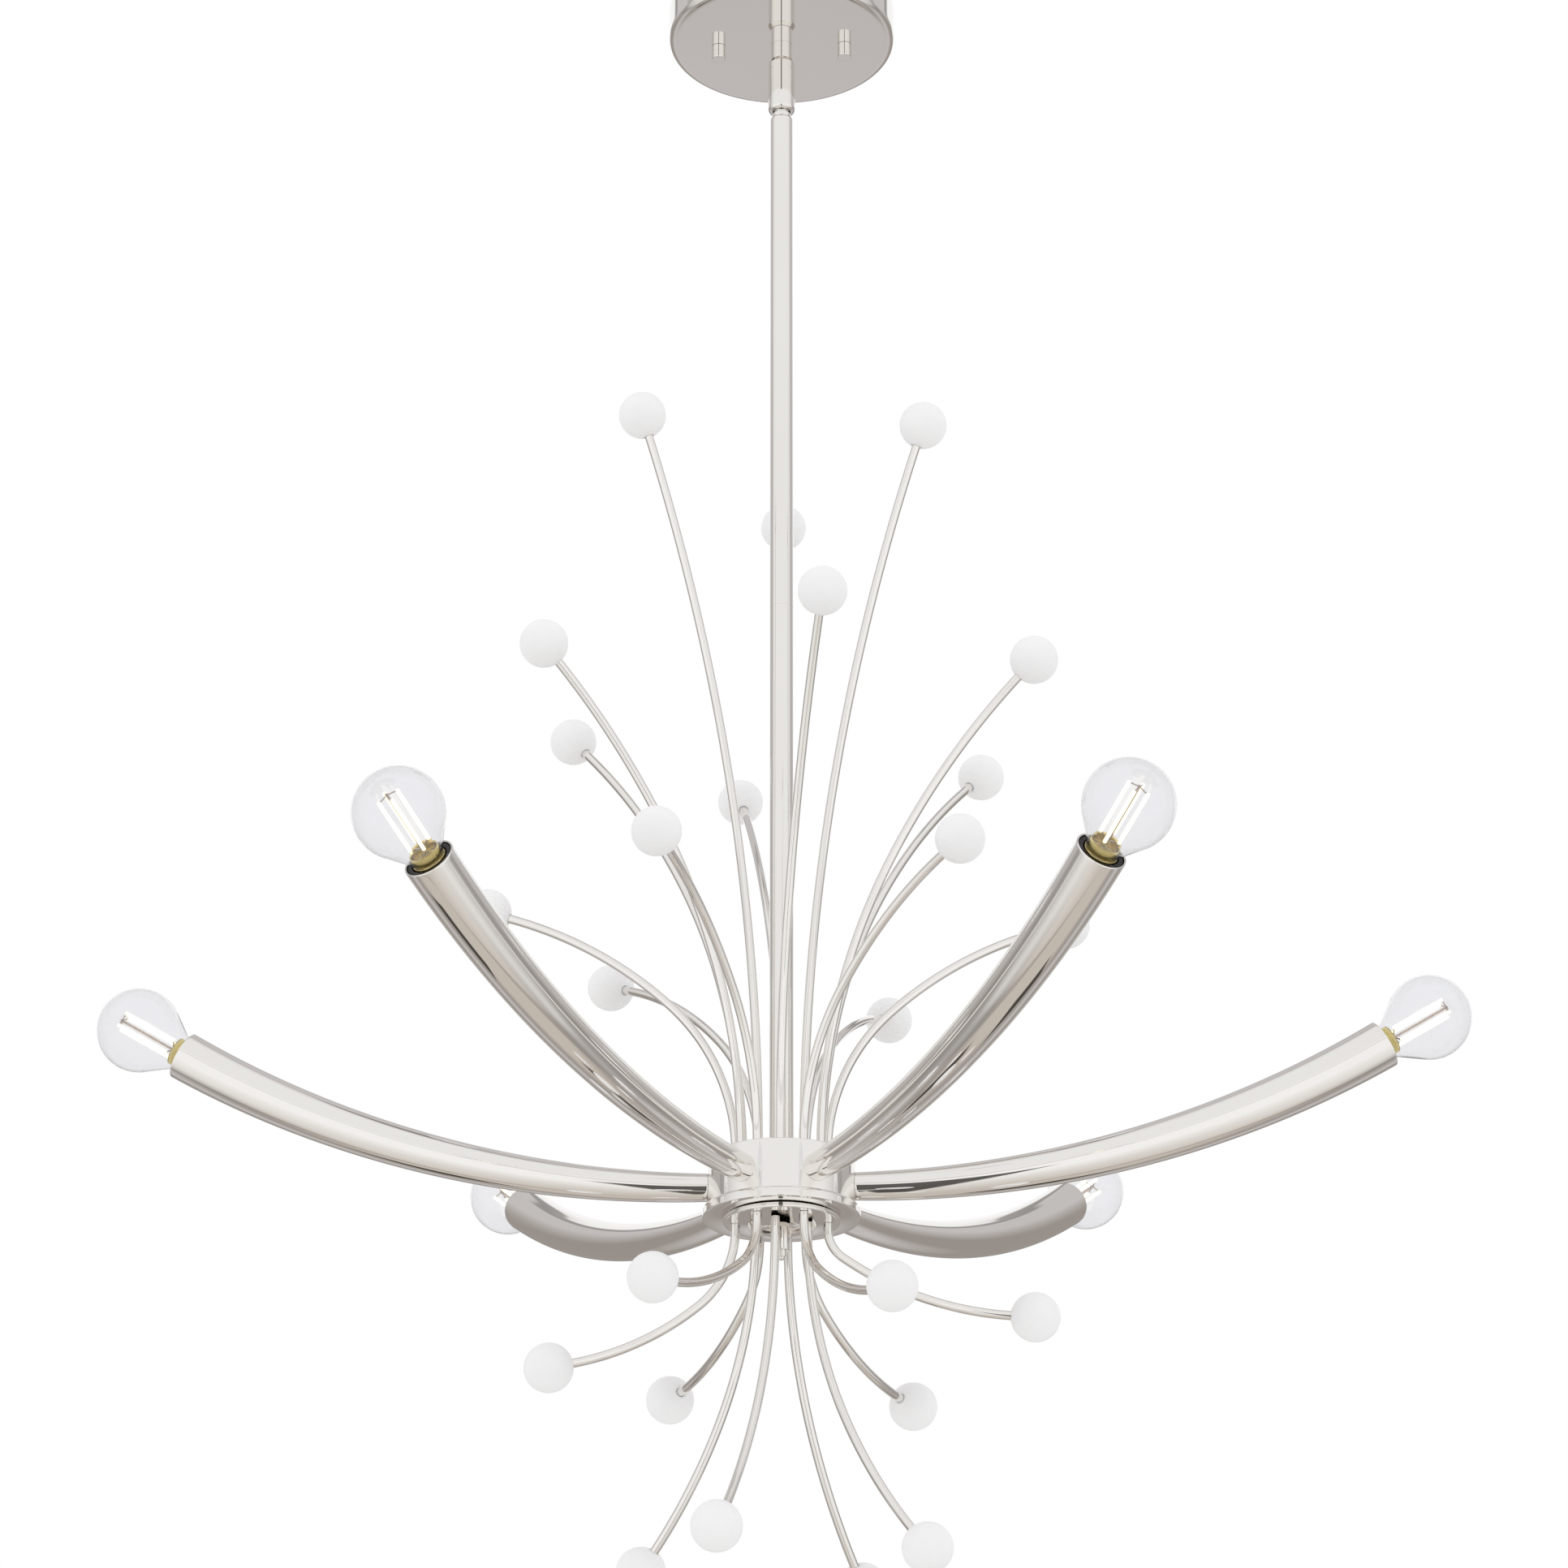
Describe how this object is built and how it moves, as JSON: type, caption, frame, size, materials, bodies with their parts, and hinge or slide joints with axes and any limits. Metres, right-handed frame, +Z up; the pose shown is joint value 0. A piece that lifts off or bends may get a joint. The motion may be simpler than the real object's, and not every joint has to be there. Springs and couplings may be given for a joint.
{
  "type": "sputnik chandelier",
  "caption": "Polished nickel sputnik chandelier: tapered up-curved arms with globe bulbs and a spray of thin stems ending in frosted balls, on a rod with swivel and round canopy.",
  "frame": {"origin": "middle of the ceiling plane, on the mounting bar's upper face and in the plane of the canopy's rim", "axes": "+Z up along the rod's axis, -Y to the front, +X to the right; two arms point along +X and -X"},
  "size_m": [0.846, 0.7396, 1.0811],
  "materials": {
    "polished_nickel": "polished nickel plate",
    "plated_steel": "zinc-plated steel, hidden hardware",
    "ground_green": "green ground screw",
    "frosted_ball": "frosted white, satin",
    "black_phenolic": "moulded black lampholder",
    "clear_glass": "clear bulb glass",
    "brass_cap": "small screw cap, nickel-brass",
    "filament_mount": "glass mount with warm filament sticks"
  },
  "bodies": {
    "canopy": {"canopy_dish": "polished_nickel", "mounting_bar": "plated_steel", "canopy_studs": "plated_steel", "stud_nuts": "plated_steel", "ground_screw": "ground_green", "canopy_nipple": "plated_steel", "nipple_nut": "plated_steel", "neck_sleeve": "polished_nickel", "swivel_keeper": "plated_steel"},
    "thumb_nut_left": {"thumb_nut_left": "polished_nickel"},
    "thumb_nut_right": {"thumb_nut_right": "polished_nickel"},
    "swivel": {"swivel_barrel": "polished_nickel", "barrel_screw": "plated_steel"},
    "chandelier": {"ball_stem": "polished_nickel", "rod_upper": "polished_nickel", "rod_coupling": "plated_steel", "rod_lower": "polished_nickel", "hub_nipple": "plated_steel", "hub_nut": "plated_steel", "hub_drum": "polished_nickel", "hub_pan": "polished_nickel", "hub_disc": "polished_nickel", "hub_finial": "polished_nickel", "arm_nuts": "plated_steel", "lampholders": "black_phenolic", "arm_1": "polished_nickel", "arm_2": "polished_nickel", "arm_3": "polished_nickel", "arm_4": "polished_nickel", "arm_5": "polished_nickel", "arm_6": "polished_nickel", "stems_top": "polished_nickel", "stems_upper": "polished_nickel", "stems_middle": "polished_nickel", "stems_lower": "polished_nickel", "stems_bottom": "polished_nickel", "balls_top": "frosted_ball", "balls_upper": "frosted_ball", "balls_middle": "frosted_ball", "balls_lower": "frosted_ball", "balls_bottom": "frosted_ball"},
    "bulb_1": {"bulb_glass_1": "clear_glass", "bulb_cap_1": "brass_cap", "bulb_filament_1": "filament_mount"},
    "bulb_2": {"bulb_glass_2": "clear_glass", "bulb_cap_2": "brass_cap", "bulb_filament_2": "filament_mount"},
    "bulb_3": {"bulb_glass_3": "clear_glass", "bulb_cap_3": "brass_cap", "bulb_filament_3": "filament_mount"},
    "bulb_4": {"bulb_glass_4": "clear_glass", "bulb_cap_4": "brass_cap", "bulb_filament_4": "filament_mount"},
    "bulb_5": {"bulb_glass_5": "clear_glass", "bulb_cap_5": "brass_cap", "bulb_filament_5": "filament_mount"},
    "bulb_6": {"bulb_glass_6": "clear_glass", "bulb_cap_6": "brass_cap", "bulb_filament_6": "filament_mount"}
  },
  "joints": [
    {"name": "swivel_turn", "type": "hinge", "parent": "canopy", "child": "swivel", "pos_m": [0, 0, -0.0371], "axis": [0, 0, 1], "range_deg": [-170, 170]},
    {"name": "stem_tilt", "type": "hinge", "parent": "swivel", "child": "chandelier", "pos_m": [0, 0, -0.0715], "axis": [1, 0, 0], "range_deg": [-12, 12]},
    {"name": "thumb_nut_left_turn", "type": "hinge", "parent": "canopy", "child": "thumb_nut_left", "pos_m": [-0.0425, 0, -0.03], "axis": [0, 0, -1], "continuous": true},
    {"name": "thumb_nut_right_turn", "type": "hinge", "parent": "canopy", "child": "thumb_nut_right", "pos_m": [0.0425, 0, -0.03], "axis": [0, 0, -1], "continuous": true},
    {"name": "bulb_1_out", "type": "slide", "parent": "chandelier", "child": "bulb_1", "axis": [0.4308, -0.7462, 0.5075], "range_m": [0, 0.045]},
    {"name": "bulb_2_out", "type": "slide", "parent": "chandelier", "child": "bulb_2", "axis": [0.8616, 0, 0.5075], "range_m": [0, 0.045]},
    {"name": "bulb_3_out", "type": "slide", "parent": "chandelier", "child": "bulb_3", "axis": [0.4308, 0.7462, 0.5075], "range_m": [0, 0.045]},
    {"name": "bulb_4_out", "type": "slide", "parent": "chandelier", "child": "bulb_4", "axis": [-0.4308, 0.7462, 0.5075], "range_m": [0, 0.045]},
    {"name": "bulb_5_out", "type": "slide", "parent": "chandelier", "child": "bulb_5", "axis": [-0.8616, 0, 0.5075], "range_m": [0, 0.045]},
    {"name": "bulb_6_out", "type": "slide", "parent": "chandelier", "child": "bulb_6", "axis": [-0.4308, -0.7462, 0.5075], "range_m": [0, 0.045]}
  ]
}
